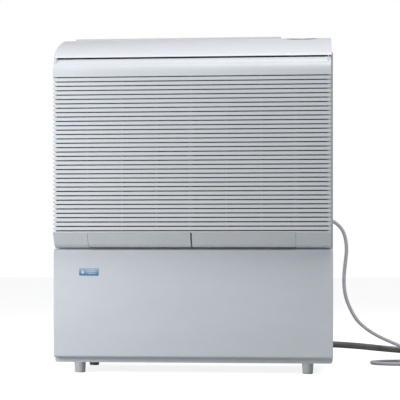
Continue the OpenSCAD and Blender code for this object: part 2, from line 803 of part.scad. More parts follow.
// Stack of thin plates on the tubes of a coil
module plate_stack(y, depth) {
    count = floor((coil_x1 - coil_x0 - 12) / plate_pitch);
    color([0.8, 0.82, 0.84]) for (k = [0:count]) {
        x = coil_x0 + 6 + k * plate_pitch;
        along_x(x, x + (k == 0 || k == count ? 1.6 : 0.6)) difference() {
            translate([y - depth / 2, z_deck + deck_t + 2])
                square([depth, coil_z1 + 18 - z_deck - deck_t - 2]);
            for (i = [0:coil_tubes - 1]) translate([y, coil_z0 + i * tube_pitch]) circle(coil_r + 0.2);
        }
    }
}

module evaporator_coil() { color(copper) pipe(serpentine(evaporator_y), coil_r, turn_r); }
module condenser_coil() { color(copper) pipe(serpentine(condenser_y), coil_r, turn_r); }
module evaporator_plates() { plate_stack(evaporator_y, evaporator_d); }
module condenser_plates() { plate_stack(condenser_y, condenser_d); }

scroll_r = wheel_r + scroll_gap;
scroll_out = outlet_y + outlet_d - 2 - wheel_y;
function spiral(extra) = [
    for (i = [0:16]) let (a = 235 + 125 * i / 16, r = scroll_r + (scroll_out - scroll_r) * i / 16 + extra)
    [wheel_y + r * cos(a), wheel_z + r * sin(a)]
];
duct_top = outlet_top - outlet_h - seam;

// Blower housing: spiral back wall, tongue and two end plates
module blower_scroll() {
    back = concat(spiral(0), [[wheel_y + scroll_out, duct_top], [wheel_y + scroll_out + sheet, duct_top]],
        [for (i = [16:-1:0]) spiral(sheet)[i]]);
    lip = spiral(0)[0];
    tongue = [[outlet_y, duct_top], [outlet_y + sheet, duct_top], [wheel_y - 20, wheel_z + 57],
        [wheel_y - 23, wheel_z + 57]];
    color(steel) {
        along_x(blower_x0 - 1, blower_x1 + 1) polygon(back);
        along_x(blower_x0 - 1, blower_x1 + 1) polygon(tongue);
        along_x(blower_x0 - 1, blower_x1 + 1)
            polygon([lip + [1, 0], lip + [0, -sheet], [wheel_y - 72, wheel_z - 57],
                [wheel_y - 72, wheel_z - 55]]);
        for (x = [blower_x0 - sheet, blower_x1]) difference() {
            union() {
                along_x(x, x + sheet) polygon([
                    [wheel_y - 74, wheel_z - 63], [wheel_y + scroll_out + sheet, wheel_z - 63],
                    [wheel_y + scroll_out + sheet, duct_top], [outlet_y, duct_top],
                    [wheel_y - 74, wheel_z + 95]
                ]);
                block([x, wheel_y + 23, z_deck + deck_t],
                      [x + sheet, wheel_y + scroll_out + sheet, wheel_z - 62]);
            }
            translate([x - 1, wheel_y, wheel_z]) rotate([0, 90, 0]) cylinder(h = sheet + 2, r = 9);
        }
    }
}

wheel_x0 = blower_x0 + 6;
wheel_x1 = blower_x1 - 6;
disc_t = 1.5;
disc_count = 6;

// Cross-flow wheel: forward-curved blades held by discs
module blower_wheel() {
    blade = concat(arc([-6, 43], 11, -80, 10, 6), arc([-6, 43], 12, 10, -80, 6));
    color([0.25, 0.27, 0.3]) difference() {
        union() {
            for (k = [0:blade_count - 1]) translate([0, wheel_y, wheel_z]) along_x(wheel_x0, wheel_x1)
                rotate(k * 360 / blade_count) intersection() {
                    polygon(blade);
                    circle(wheel_r - 0.6);
                }
            for (k = [0:disc_count]) {
                x = wheel_x0 + k * (wheel_x1 - wheel_x0 - disc_t) / disc_count;
                solid = k == 0 || k == disc_count;
                translate([0, wheel_y, wheel_z]) along_x(x, x + disc_t) difference() {
                    circle(wheel_r);
                    if (!solid) circle(wheel_r - 14);
                }
            }
            for (x = [wheel_x0, wheel_x1 - 12]) translate([x, wheel_y, wheel_z]) rotate([0, 90, 0])
                cylinder(h = 12, r = shaft_r + 6);
        }
        translate([wheel_x0 - 1, wheel_y, wheel_z]) rotate([0, 90, 0])
            cylinder(h = wheel_x1 - wheel_x0 + 2, r = shaft_r + 0.05);
    }
}

bearing_x = blower_x0 - sheet - 8;
motor_x = blower_x1 + sheet + 4;

module blower_shaft() {
    color(steel) translate([bearing_x - 1, wheel_y, wheel_z]) rotate([0, 90, 0])
        cylinder(h = motor_x + motor_len - 6 - bearing_x, r = shaft_r);
}

module shaft_bearing() {
    color([0.7, 0.62, 0.4]) translate([bearing_x, wheel_y, wheel_z]) rotate([0, 90, 0]) difference() {
        union() {
            cylinder(h = 8, r = 14);
            translate([0, 0, 5]) cylinder(h = 3, r = 19);
        }
        translate([0, 0, -1]) cylinder(h = 10, r = shaft_r + running_fit);
    }
}

// Fan motor with a bore for the rotor shaft and cooling ribs
module fan_motor() {
    color([0.3, 0.31, 0.33]) translate([motor_x, wheel_y, wheel_z]) rotate([0, 90, 0]) difference() {
        union() {
            cylinder(h = motor_len - 4, r = motor_r - 2);
            cylinder(h = motor_len, r = motor_r - 16);
            for (k = [0:5]) translate([0, 0, 4 + k * 8]) cylinder(h = 3, r = motor_r);
        }
        translate([0, 0, -1]) cylinder(h = motor_len - 4, r = shaft_r + running_fit);
    }
}

module motor_bracket() {
    color(steel) translate([motor_x - 4, wheel_y, wheel_z]) rotate([0, 90, 0]) difference() {
        cylinder(h = 4, r = motor_r + 8);
        translate([0, 0, -1]) cylinder(h = 6, r = 12);
        for (a = [30:60:330]) rotate(a) translate([motor_r - 12, 0, -1]) cylinder(h = 6, r = 5);
    }
}

bolt_angles = [90, 210, 330];
bolt_places = [for (a = bolt_angles)
    [compressor_x + bolt_ring * cos(a), compressor_y + bolt_ring * sin(a)]];

// Hermetic compressor on a three-eared plate, with its discharge stub
module compressor() {
    r = compressor_r;
    base = z_shell - 1;
    shell = concat([[0, base]], arc([r - 14, base + 14], 14, -90, 0, 6),
        arc([r - 30, z_shell_top - 30], 30, 0, 90, 8), [[0, z_shell_top]]);
    color([0.1, 0.1, 0.11]) {
        translate([compressor_x, compressor_y, 0]) rotate_extrude() polygon(shell);
        translate([compressor_x, compressor_y, z_shell + compressor_h / 2 - 4]) cylinder(h = 8, r = r + 1);
        translate([compressor_x - 35, compressor_y, z_shell_top - 30])
            cylinder(h = stub_z - z_shell_top + 30, r = pipe_r + 1);
        difference() {
            union() {
                translate([compressor_x, compressor_y, z_mount]) cylinder(h = plate_t, r = r + 4);
                for (p = bolt_places) translate([p.x, p.y, z_mount]) cylinder(h = plate_t, r = 13);
                for (a = bolt_angles) translate([compressor_x, compressor_y, z_mount]) rotate(a)
                    translate([0, -9, 0]) cube([bolt_ring, 18, plate_t]);
            }
            for (p = bolt_places)
                translate([p.x, p.y, z_mount - 1]) cylinder(h = plate_t + 2, r = bolt_r + 0.4);
        }
    }
}

module compressor_grommets() {
    color(dark_rubber) for (p = bolt_places) translate([p.x, p.y, z_tray + tray_t]) difference() {
        union() {
            cylinder(h = grommet_h, r = 10);
            cylinder(h = 5, r = 12);
            translate([0, 0, grommet_h - 5]) cylinder(h = 5, r = 12);
        }
        translate([0, 0, -1]) cylinder(h = grommet_h + 2, r = bolt_r + 0.4);
    }
}

module compressor_bolts() {
    color(steel) for (p = bolt_places) translate([p.x, p.y, z_tray + 0.2]) {
        cylinder(h = z_shell - z_tray, r = bolt_r);
        translate([0, 0, z_shell - z_tray - 0.2]) cylinder(h = 1.6, r = 9);
        translate([0, 0, z_shell - z_tray + 1.4]) cylinder(h = 6, r = 7, $fn = 6);
    }
}

module terminal_cover() {
    color(dark_rubber) difference() {
        block([compressor_x - 15, compressor_y - 18, z_shell_top],
              [compressor_x + 21, compressor_y + 18, z_shell_top + 14]);
        block([compressor_x - 13, compressor_y - 16, z_shell_top - 1],
              [compressor_x + 19, compressor_y + 16, z_shell_top + 12]);
    }
}

// Suction accumulator beside the compressor, with its elbow into the shell
module suction_accumulator() {
    r = accumulator_r;
    can = concat([[0, accumulator_z0]], arc([r - 8, accumulator_z0 + 8], 8, -90, 0, 5),
        arc([r - 8, accumulator_z1 - 8], 8, 0, 90, 5), [[0, accumulator_z1]]);
    color([0.12, 0.12, 0.13]) {
        translate([accumulator_x, compressor_y, 0]) rotate_extrude() polygon(can);
        translate([accumulator_x, compressor_y, accumulator_z1 - 2]) cylinder(h = 20, r = pipe_r + 1);
        pipe([[accumulator_x, compressor_y, accumulator_z0 + 4],
            [accumulator_x, compressor_y, accumulator_z0 - 24],
            [compressor_x - compressor_r - 0.3, compressor_y, accumulator_z0 - 24]], pipe_r, 14);
    }
}

module discharge_pipe() {
    x = compressor_x - 35;
    z = z_deck + 29;
    color(copper) pipe([[x, compressor_y, stub_z], [x, compressor_y, z], [-305, compressor_y, z],
        [-305, condenser_y, z], [-305, condenser_y, coil_z1], [stub_x, condenser_y, coil_z1]], pipe_r, 12);
}

module suction_pipe() {
    z = accumulator_z1 + 48;
    color(copper) pipe([[stub_x, evaporator_y, coil_z1], [-300, evaporator_y, coil_z1],
        [-300, evaporator_y, z], [-300, compressor_y, z], [accumulator_x, compressor_y, z],
        [accumulator_x, compressor_y, accumulator_z1 + 18]], pipe_r, 12);
}

module liquid_pipe() {
    color(copper) pipe([[stub_x, condenser_y, coil_z0], [drier_x, condenser_y, coil_z0],
        [drier_x, condenser_y, drier_z1]], pipe_r, 12);
}

module filter_drier() {
    color(copper) translate([drier_x, condenser_y, 0]) rotate_extrude()
        polygon([[0, drier_z0], [4, drier_z0], [4, drier_z0 + 6], [10, drier_z0 + 14],
            [10, drier_z1 - 14], [pipe_r, drier_z1 - 6], [pipe_r, drier_z1], [0, drier_z1]]);
}

module capillary_tube() {
    z = drier_z0 - 20;
    color(copper) pipe([[drier_x, condenser_y, drier_z0], [drier_x, condenser_y, z],
        [drier_x, capillary_y, z], [drier_x, capillary_y, coil_z0],
        [drier_x, evaporator_y, coil_z0], [stub_x, evaporator_y, coil_z0]], 1.5, 6);
}

// Open-fronted box for the controls, standing on the deck
module electric_box() {
    color([0.82, 0.83, 0.84]) difference() {
        block([box_x0, box_y0, z_deck + deck_t], [box_x1, box_y1, box_z1]);
        block([box_x0 + 2, box_y0 - 1, z_deck + deck_t + 2], [box_x1 - 2, box_y1 - 2, box_z1 - 2]);
        translate([gland_x, box_y1 + 1, gland_z]) rotate([90, 0, 0]) cylinder(h = 6, r = gland_r + 0.3);
        translate([box_x0 + 13, cable_y, z_deck]) cylinder(h = 6, r = 6);
    }
}

// Board with relays, a transformer and a terminal strip
module control_board() {
    y = box_y1 - 8;
    x0 = box_x0 + 5;
    z0 = z_deck + 100;
    color([0.15, 0.4, 0.25]) {
        block([x0, y - 1.6, z0], [box_x1 - 5, y, z0 + 140]);
        for (x = [x0 + 6, box_x1 - 11], z = [z0 + 6, z0 + 134]) translate([x, y - 1, z]) rotate([-90, 0, 0])
            cylinder(h = 7, r = 2.5);
        for (i = [0:2]) block([x0 + 6 + i * 20, y - 18, z0 + 14], [x0 + 22 + i * 20, y - 1, z0 + 40]);
        block([x0 + 10, y - 30, z0 + 60], [x0 + 50, y - 1, z0 + 92]);
        block([x0 + 8, y - 12, z0 + 110], [x0 + 56, y - 1, z0 + 122]);
    }
}

module run_capacitor() {
    color([0.75, 0.76, 0.78]) translate([box_x0 + 40, box_y0 + 34, z_deck + deck_t + 2]) {
        cylinder(h = 70, r = 18);
        for (x = [-6, 6]) translate([x - 1, -3, 69]) cube([2, 6, 9]);
    }
}

module compressor_cable() {
    z = z_deck - 20;
    x = box_x0 + 13;
    tx = compressor_x + 5;
    color(dark_rubber) pipe([[x, cable_y, z_deck + 10], [x, cable_y, z], [tx, cable_y, z],
        [tx, compressor_y, z], [tx, compressor_y, z_shell_top + 14]], 4, 10);
}

// Tube from the drip tray to the spigot
module drain_tube() {
    top = [drain_x, condenser_y, z_deck - 3];
    end = [drain_x, y_rear - 10, drain_z];
    corner = [drain_x, condenser_y, drain_z];
    color([0.8, 0.82, 0.82]) difference() {
        pipe([top, corner, end], barb_r + 2.2, 25);
        pipe([top + [0, 0, 1], corner, end + [0, 1, 0]], barb_r + 0.1, 25);
    }
}

// Barbed elbow through the rear panel, turned to the right outside
module drain_spigot() {
    turn = [drain_x, spigot_y, drain_z];
    color([0.85, 0.86, 0.86]) difference() {
        union() {
            pipe([[drain_x, y_rear - 28, drain_z], turn, [drain_x + 40, spigot_y, drain_z]], barb_r, 12);
            translate([drain_x, y_rear, drain_z]) rotate([-90, 0, 0]) cylinder(h = 3, r = 12.5);
            translate([drain_x, y_rear - wall, drain_z]) rotate([-90, 0, 0]) cylinder(h = wall, r = 8.7);
        }
        pipe([[drain_x, y_rear - 29, drain_z], turn, [drain_x + 41, spigot_y, drain_z]], barb_bore, 12);
    }
}

module hose_clip() {
    color(steel) translate([drain_x + 26, spigot_y, drain_z]) rotate([0, 90, 0]) difference() {
        union() {
            cylinder(h = 8, r = hose_d / 2 + 1.2);
            translate([-hose_d / 2 - 8, -3, 0]) cube([8, 6, 8]);
        }
        translate([0, 0, -1]) cylinder(h = 10, r = hose_d / 2 + 0.1);
    }
}

module drain_hose() {
    color([0.36, 0.36, 0.34]) cord(moved(hose_points, hose_d, drain_z / 50), hose_d, 12);
}

// Outer shape of the hose's coil
module drain_hose_coil() {
    color([0.36, 0.36, 0.34]) translate([hose_coil.x, hose_coil.y + cord_y, 0]) rotate_extrude()
        rounded([hose_coil_r - hose_coil_w / 2, 0], [hose_coil_r + hose_coil_w / 2, hose_d], hose_d / 2 - 1);
}

// Gland in the rear panel with a tapered, ribbed strain relief
module lead_gland() {
    color([0.6, 0.6, 0.62]) translate([gland_x, 0, gland_z]) rotate([-90, 0, 0]) {
        translate([0, 0, y_rear - 9]) cylinder(h = 9, r = gland_r);
        translate([0, 0, y_rear]) cylinder(h = 5, r = 11);
        translate([0, 0, y_rear + 5]) cylinder(h = boot_len - 5, r1 = 8, r2 = lead_d / 2 + 1);
        for (i = [0:3]) translate([0, 0, y_rear + 8 + 5 * i]) cylinder(h = 2, r = 8 - 0.4 * i);
    }
}

module mains_lead() { color([0.75, 0.75, 0.77]) cord(moved(lead_points, lead_d, gland_z / 373), lead_d); }

// Outer shape of the lead's coil
module mains_lead_coil() {
    w = lead_coil_w;
    color([0.75, 0.75, 0.77]) translate([lead_coil.x, lead_coil.y + cord_y, 0]) rotate_extrude()
        rounded([lead_coil_r - w / 2, 0], [lead_coil_r + w / 2, lead_layers * lead_d], lead_d / 2);
}

// Two-pin plug lying beside the coil, with the lead's last stretch
module mains_plug() {
    color([0.75, 0.75, 0.77]) translate([plug_x, plug_y + cord_y, plug_r]) rotate([0, -90, 0]) {
        translate([0, 0, -plug_lead]) cylinder(h = plug_lead + 1, r = lead_d / 2);
        cylinder(h = plug_len - 22, r1 = lead_d / 2 + 2, r2 = plug_r - 3);
        translate([0, 0, plug_len - 22]) cylinder(h = 22, r = plug_r);
    }
}

module plug_pins() {
    color([0.8, 0.75, 0.6]) for (side = [-1, 1])
        translate([plug_x - plug_len, plug_y + cord_y + side * 9.5, plug_r])
            rotate([0, -90, 0]) cylinder(h = 19, r = 2.4);
}

base_tray();
foot_front_left();
foot_front_right();
foot_rear_left();
foot_rear_right();
foot_screws();
left_side_panel();
right_side_panel();
rear_panel();
rear_panel_screws();
lower_front_panel();
badge();
front_grille();
left_filter_frame();
left_filter_mesh();
right_filter_frame();
right_filter_mesh();
top_cover();
outlet_grille();
dial_scale();
dial_well();
humidistat_knob();
humidistat_shaft();
humidistat_switch();
bulkhead();
drip_tray();
evaporator_plates();
evaporator_coil();
condenser_plates();
condenser_coil();
blower_scroll();
blower_wheel();
blower_shaft();
shaft_bearing();
fan_motor();
motor_bracket();
compressor();
compressor_grommets();
compressor_bolts();
terminal_cover();
suction_accumulator();
discharge_pipe();
suction_pipe();
liquid_pipe();
filter_drier();
capillary_tube();
electric_box();
control_board();
run_capacitor();
compressor_cable();
drain_tube();
drain_spigot();
hose_clip();
drain_hose();
drain_hose_coil();
lead_gland();
mains_lead();
mains_lead_coil();
mains_plug();
plug_pins();
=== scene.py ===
"""Console dehumidifier: materials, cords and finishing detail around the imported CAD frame."""

import json
import math

import bmesh
import bpy
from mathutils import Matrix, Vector


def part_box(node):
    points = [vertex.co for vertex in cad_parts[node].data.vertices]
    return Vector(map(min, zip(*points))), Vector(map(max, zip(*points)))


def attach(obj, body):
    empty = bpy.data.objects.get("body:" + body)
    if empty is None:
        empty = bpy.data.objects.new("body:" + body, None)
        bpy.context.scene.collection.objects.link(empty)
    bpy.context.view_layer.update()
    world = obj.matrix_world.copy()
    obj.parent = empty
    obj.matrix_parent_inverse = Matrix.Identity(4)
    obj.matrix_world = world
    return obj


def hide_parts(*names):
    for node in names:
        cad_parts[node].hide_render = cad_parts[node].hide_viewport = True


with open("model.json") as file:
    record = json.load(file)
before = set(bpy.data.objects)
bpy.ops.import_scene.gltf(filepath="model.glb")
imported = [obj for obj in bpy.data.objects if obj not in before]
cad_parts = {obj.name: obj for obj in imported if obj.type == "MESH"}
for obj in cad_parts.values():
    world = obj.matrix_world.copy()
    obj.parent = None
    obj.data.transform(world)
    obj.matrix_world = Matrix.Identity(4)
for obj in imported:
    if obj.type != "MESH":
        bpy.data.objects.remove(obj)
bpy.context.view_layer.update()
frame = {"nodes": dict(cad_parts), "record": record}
MM = 0.001
UP = Vector((0, 0, 1))
nodes = frame["nodes"]
record = frame["record"]


def mm(*values):
    """A point given in millimetres, in metres."""
    return Vector(values) * MM


# Camera ---------------------------------------------------------------------


def make_camera():
    """The photograph's view: level, a little to the right of the middle, framed upwards."""
    data = bpy.data.cameras.new("camera")
    data.lens = 123.35
    data.sensor_width = 36
    data.shift_y = 0.13
    camera = bpy.data.objects.new("camera", data)
    camera.location = (0.2843, -3.3064, 0.2837)
    camera.rotation_euler = (math.radians(90), 0, math.radians(4.786))
    bpy.context.collection.objects.link(camera)
    bpy.context.scene.camera = camera


make_camera()

# Mesh helpers ---------------------------------------------------------------


def piece_from(name, vertices, faces, smooth=True):
    """A new object from vertices in metres and faces."""
    mesh = bpy.data.meshes.new(name)
    mesh.from_pydata([tuple(v) for v in vertices], [], faces)
    mesh.validate()
    work = bmesh.new()
    work.from_mesh(mesh)
    bmesh.ops.recalc_face_normals(work, faces=work.faces)
    work.to_mesh(mesh)
    work.free()
    for polygon in mesh.polygons:
        polygon.use_smooth = smooth
    made = bpy.data.objects.new(name, mesh)
    bpy.context.collection.objects.link(made)
    return made


def lathe(name, profile, origin, axis, segments=64, flute=None):
    """A solid of revolution. The profile holds (distance along the axis, radius) in millimetres,
    and flute, where given, scales a radius by angle and distance."""
    axis = Vector(axis).normalized()
    side = axis.orthogonal().normalized()
    other = axis.cross(side)
    vertices = []
    for along, radius in profile:
        for k in range(segments):
            angle = 2 * math.pi * k / segments
            r = radius * (flute(angle, along, radius) if flute else 1)
            spoke = math.cos(angle) * side + math.sin(angle) * other
            vertices.append(origin + (axis * along + spoke * r) * MM)
    faces = []
    for ring in range(len(profile) - 1):
        for k in range(segments):
            a = ring * segments + k
            b = ring * segments + (k + 1) % segments
            faces.append((a, b, b + segments, a + segments))
    faces.append(tuple(range(segments)))
    faces.append(tuple(range((len(profile) - 1) * segments, len(profile) * segments)))
    return piece_from(name, vertices, faces)


def rounded_corner(centre, radius, start, end, steps=6):
    """Points of an arc in degrees, for a lathe profile or an outline."""
    points = []
    for i in range(steps + 1):
        angle = math.radians(start + (end - start) * i / steps)
        points.append((centre[0] + radius * math.cos(angle), centre[1] + radius * math.sin(angle)))
    return points


def soften(piece, width, angle=32):
    """Rounds a piece's sharp edges and keeps its flat faces flat."""
    weld = piece.modifiers.new("weld", "WELD")
    weld.merge_threshold = 0.00001
    flat = piece.modifiers.new("flat", "DECIMATE")
    flat.decimate_type = "DISSOLVE"
    flat.angle_limit = math.radians(0.3)
    bevel = piece.modifiers.new("bevel", "BEVEL")
    bevel.width = width * MM
    bevel.segments = 3
    bevel.limit_method = "ANGLE"
    bevel.angle_limit = math.radians(angle)
    bevel.harden_normals = True
    bevel.use_clamp_overlap = True


# Cords ----------------------------------------------------------------------


def smooth_path(points):
    """A Catmull-Rom curve through the points."""
    per_span = 8
    ends = [2 * points[0] - points[1], *points, 2 * points[-1] - points[-2]]
    line = []
    for p0, p1, p2, p3 in zip(ends, ends[1:], ends[2:], ends[3:]):
        for k in range(per_span):
            t = k / per_span
            line.append(0.5 * (2 * p1 + (p2 - p0) * t + (2 * p0 - 5 * p1 + 4 * p2 - p3) * t**2
                               + (3 * p1 - p0 - 3 * p2 + p3) * t**3))
    line.append(points[-1])
    return line


def tube(name, line, diameter):
    """A round cord along a line, as a curve of one open spline."""
    curve = bpy.data.curves.new(name, "CURVE")
    curve.dimensions = "3D"
    curve.bevel_depth = diameter / 2
    curve.bevel_resolution = 6
    curve.use_fill_caps = True
    spline = curve.splines.new("POLY")
    spline.points.add(len(line) - 1)
    for place, point in zip(spline.points, line):
        place.co = (*point, 1)
    spline.use_smooth = True
    made = bpy.data.objects.new(name, curve)
    bpy.context.collection.objects.link(made)
    return made


def tie(name, centre, radius, half_width, height, angle):
    """A strap with a small lock around one side of a coil."""
    angle = math.radians(angle)
    out = Vector((math.cos(angle), math.sin(angle), 0))
    along = Vector((-math.sin(angle), math.cos(angle), 0))
    middle = Vector((centre[0], centre[1], 0)) + out * radius
    corner = 3.5
    outline = []
    for cx, cz, start in (
        (half_width - corner, height - corner, 0),
        (corner - half_width, height - corner, 90),
        (corner - half_width, corner, 180),
        (half_width - corner, corner, 270),
    ):
        outline += rounded_corner((cx, cz), corner, start, start + 90, 5)
    vertices = []
    thickness = 0.8
    half_strap = 2.6
    for x, z in outline:
        inward = Vector((x, z - height / 2)).normalized() * thickness
        for dx, dz, w in (
            (0, 0, -half_strap),
            (0, 0, half_strap),
            (inward.x, inward.y, half_strap),
            (inward.x, inward.y, -half_strap),
        ):
            vertices.append((middle + out * (x - dx) + along * w + UP * (z - dz)) * MM)
    count = len(outline)
    faces = []
    for i in range(count):
        j = (i + 1) % count
        for k in range(4):
            m = (k + 1) % 4
            faces.append((4 * i + k, 4 * i + m, 4 * j + m, 4 * j + k))
    base = len(vertices)
    lock_half_length = 3.5
    lock_half_width = 3.4
    for x in (-lock_half_length, lock_half_length):
        for w in (-lock_half_width, lock_half_width):
            for z in (height - 0.6, height + 2.4):
                vertices.append((middle + out * x + along * w + UP * z) * MM)
    for face in ((0, 1, 3, 2), (4, 6, 7, 5), (0, 4, 5, 1), (2, 3, 7, 6), (0, 2, 6, 4), (1, 5, 7, 3)):
        faces.append(tuple(base + k for k in face))
    made = piece_from(name, vertices, faces)
    soften(made, 0.3)
    return made


REAR_PANEL_Y = 134
LEAD_D = 9
LEAD_ROUTE = [
    (255, 162, 373), (255, 184, 373), (264, 206, 373), (284, 219, 373), (310, 222, 370),
    (335, 220, 360), (354, 218, 341), (363, 215, 315), (365, 212, 286), (362, 209, 256),
    (359, 205, 226), (359, 200, 196), (364, 195, 167), (375, 189, 139), (391, 184, 112),
    (412, 180, 92), (438, 177, 75), (467, 173, 61), (500, 168, 47), (535, 162, 33),
    (570, 154, 18), (602, 150, 6), (627, 158, 4.5), (642, 178, 4.5), (642, 203, 4.5),
    (627, 223, 4.5), (602, 231, 4.5), (571, 231, 4.5), (540, 230, 4.5), (509, 228, 4.5),
    (480, 225, 4.5), (452, 217, 4.5), (432, 198, 4.5), (429, 173, 4.5), (443, 152, 4.5),
    (468, 142, 4.5), (501, 135, 4.5), (537, 124, 4.5), (573, 110, 4.5), (610, 102, 4.5),
]
LEAD_COIL = (610, 46)
PLUG_AT = (568, -4, 17)
HOSE_D = 16
HOSE_ROUTE = [
    (248, 158, 50), (272, 158, 50), (300, 158, 51), (332, 160, 51), (364, 165, 49),
    (398, 174, 46), (432, 186, 42), (465, 201, 38), (498, 218, 34), (530, 236, 29),
    (561, 254, 23), (592, 271, 16), (623, 285, 10), (655, 298, 8),
]
HOSE_COIL = (622, 380)


def around(centre, radius, angle, height):
    """A point on a circle round a coil's centre, the angle in degrees."""
    angle = math.radians(angle)
    return mm(centre[0] + radius * math.cos(angle), centre[1] + radius * math.sin(angle), height)


def lead_line():
    """The lead's route, two turns on the floor, half a turn on top of them, and on to the plug."""
    points = [mm(*p) for p in LEAD_ROUTE]
    step = 20
    outer = 56
    pitch = 9.3
    for turned in range(step, 721, step):
        height = min(5.4, 4.5 + turned / 60)
        points.append(around(LEAD_COIL, outer - pitch * turned / 360, 90 - turned, height))
    inner = outer - 2 * pitch
    for turned in range(step, 181, step):
        rise = min(1, turned / 80)
        height = 5.4 + 9.2 * (3 - 2 * rise) * rise * rise
        outward = max(0, turned - 60) / 120
        radius = inner - pitch * min(turned, 60) / 360 + 14 * outward
        points.append(around(LEAD_COIL, radius, 90 - turned, height))
    points.append(mm(PLUG_AT[0] + 20, PLUG_AT[1], 16.4))
    points.append(mm(*PLUG_AT))
    return smooth_path(points)


def hose_line():
    """The hose's route and its coil, one turn and a bit, lying on the floor."""
    points = [mm(*p) for p in HOSE_ROUTE]
    for turned in range(15, 436, 15):
        points.append(around(HOSE_COIL, 88.4 - 16.6 * turned / 360, turned - 68, 8))
    return smooth_path(points)


def strain_relief():
    """Collar and ribbed taper where the lead leaves the rear panel."""
    x, _, z = LEAD_ROUTE[0]
    profile = [(0, 4), *rounded_corner((0.8, 10.2), 0.8, 180, 90)]
    profile += [*rounded_corner((4.0, 10.0), 1.0, 90, 0), (5.0, 8.2)]
    for k in range(6):
        start = 6 + 3.4 * k
        radius = 8.1 - 0.42 * k
        profile += [(start, radius - 1.3), (start + 0.5, radius - 0.1), (start + 1.0, radius),
                    (start + 1.7, radius - 0.1), (start + 2.1, radius - 1.3)]
    profile += [(27.2, 5.5), (28, 5.1), (28, 4.3)]
    return lathe("strain_relief", profile, mm(x, REAR_PANEL_Y, z), (0, 1, 0))


def plug_body():
    """Round two-pin plug: flexible neck, grip flutes and a rounded face."""
    profile = [(-3, 4.4), (-3, 5.6)]
    for k in range(5):
        start = -2 + 3.6 * k
        profile += [(start, 5.4 + 0.8 * k), (start + 0.6, 6.5 + 0.8 * k),
                    (start + 1.9, 6.7 + 0.85 * k), (start + 2.4, 5.6 + 0.8 * k)]
    profile += [(17, 11), (21, 14.4), (25, 16.2), (28, 16.8), (38, 16.9)]
    profile += rounded_corner((43.4, 14.4), 2.4, 90, 0)
    profile += [(45.8, 13.2), (45.2, 12.6), (45.2, 3)]

    def flutes(angle, along, radius):
        if 21 < along < 42 and radius > 14:
            return 1 - 0.035 * max(0, math.cos(12 * angle)) ** 2
        return 1

    return lathe("plug_body", profile, mm(*PLUG_AT), (-1, 0, 0), 96, flutes)


lead = lead_line()
mains_lead = tube("mains_lead", lead, LEAD_D * MM)
boot = strain_relief()
plug = plug_body()
lead_tie = tie("lead_tie", LEAD_COIL, 47, 16.5, 20.2, 200)
hose = hose_line()
drain_hose = tube("drain_hose", hose, HOSE_D * MM)
hose_tie = tie("hose_tie", HOSE_COIL, 80.5, 18.2, 17.2, -50)

# Material helpers -----------------------------------------------------------


def shade(red, green, blue):
    """A display colour, 0 to 255, as the linear colour a shader takes."""
    shown = (red / 255, green / 255, blue / 255)
    return tuple(((v + 0.055) / 1.055) ** 2.4 if v > 0.04 else v / 12.92 for v in shown) + (1,)


def add(tree, kind, settings=None, **inputs):
    """A node, with its settings, and its inputs by name with spaces as underscores."""
    made = tree.nodes.new(kind)
    for key, value in (settings or {}).items():
        setattr(made, key, value)
    for key, value in inputs.items():
        socket = made.inputs[key.replace("_", " ")]
        if isinstance(value, bpy.types.NodeSocket):
            tree.links.new(value, socket)
        else:
            socket.default_value = value
    return made


def blank(name):
    """A new material with its tree, its shader and the object's coordinates."""
    material = bpy.data.materials.new(name)
    material.use_nodes = True
    tree = material.node_tree
    return material, tree, tree.nodes["Principled BSDF"], add(tree, "ShaderNodeTexCoord").outputs["Object"]


def noise(tree, place, scale, detail=3.0, stretch=None):
    """Cloudy noise from 0 to 1, stretched along the axes where stretch is given."""
    if stretch:
        place = add(tree, "ShaderNodeMapping", Vector=place, Scale=stretch).outputs["Vector"]
    return add(tree, "ShaderNodeTexNoise", Vector=place, Scale=scale, Detail=detail).outputs["Fac"]


def spread(tree, value, low, high, start=0.3, end=0.7):
    """A value between low and high as the input goes from start to end."""
    settings = {"clamp": True}
    made = add(tree, "ShaderNodeMapRange", settings, Value=value)
    for name, number in (("From Min", start), ("From Max", end), ("To Min", low), ("To Max", high)):
        made.inputs[name].default_value = number
    return made.outputs["Result"]


def blended(tree, factor, first, second):
    """The first colour, going over to the second as the factor goes from 0 to 1."""
    made = tree.nodes.new("ShaderNodeMix")
    made.data_type = "RGBA"
    for index, value in ((0, factor), (6, first), (7, second)):
        socket = made.inputs[index]
        if isinstance(value, bpy.types.NodeSocket):
            tree.links.new(value, socket)
        else:
            socket.default_value = value
    return made.outputs[2]


def maths(tree, operation, first, second=0.0):
    """One arithmetic step on sockets or numbers."""
    made = tree.nodes.new("ShaderNodeMath")
    made.operation = operation
    for socket, value in zip(made.inputs, (first, second)):
        if isinstance(value, bpy.types.NodeSocket):
            tree.links.new(value, socket)
        else:
            socket.default_value = value
    return made.outputs[0]


def bumped(tree, shader, *layers):
    """Bump layers, each a height, a strength and a depth in millimetres, one on another."""
    normal = None
    for height, strength, depth in layers:
        made = add(tree, "ShaderNodeBump", Height=height, Strength=strength, Distance=depth * MM)
        if normal:
            tree.links.new(normal, made.inputs["Normal"])
        normal = made.outputs["Normal"]
    tree.links.new(normal, shader.inputs["Normal"])


def darker(colour, share):
    """The colour with its light scaled by a share."""
    return tuple(c * share for c in colour[:3]) + (1,)


def dusted(tree, place, colour, dust, amount):
    """The colour with fine dust on faces that look up."""
    normal = add(tree, "ShaderNodeNewGeometry").outputs["Normal"]
    up = add(tree, "ShaderNodeSeparateXYZ", Vector=normal).outputs["Z"]
    lying = spread(tree, up, 0, amount, 0.5, 1.0)
    return blended(tree, maths(tree, "MULTIPLY", lying, noise(tree, place, 55, 6)), colour, dust)


# Materials ------------------------------------------------------------------


